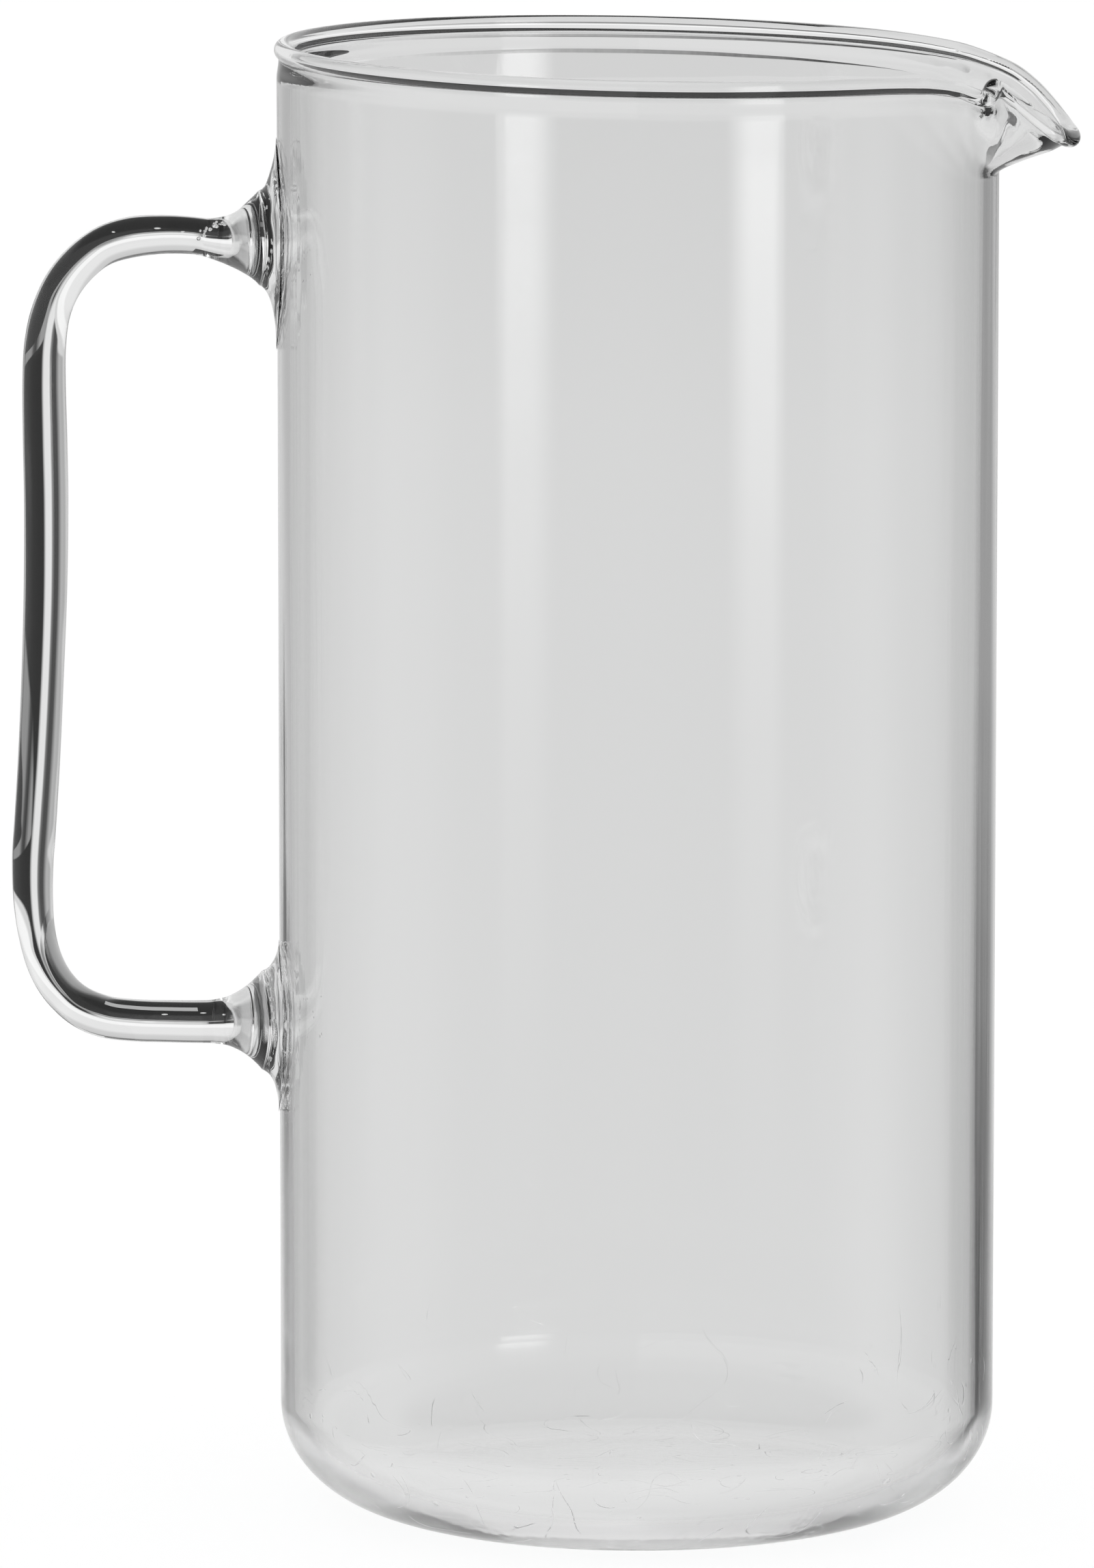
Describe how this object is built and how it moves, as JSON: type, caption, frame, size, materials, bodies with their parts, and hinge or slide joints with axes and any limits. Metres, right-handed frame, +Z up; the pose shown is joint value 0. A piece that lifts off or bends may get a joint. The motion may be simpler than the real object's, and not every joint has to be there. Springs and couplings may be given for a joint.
{
  "type": "handled glass jug",
  "caption": "Tall clear glass beaker jug with a rounded heel, fire-polished rim, drooping pouring lip and a solid glass rod handle fused on at two flared welds.",
  "frame": {"origin": "centre of the flat base, on the surface the jug stands on", "axes": "+Z up along the body's axis; +X towards the pouring lip; -X towards the handle; +Y away from a viewer who sees the handle on the left and the lip on the right"},
  "size_m": [0.1483, 0.1006, 0.2055],
  "materials": {
    "vessel_glass": "clear borosilicate glass, fire-polished, with faint vertical drawing lines",
    "rod_glass": "clear solid glass rod, flame-bent",
    "weld_glass": "clear flame-worked glass with fine seed bubbles"
  },
  "bodies": {
    "root": {"vessel": "vessel_glass", "handle": "rod_glass", "upper_weld": "weld_glass", "lower_weld": "weld_glass"}
  },
  "joints": []
}
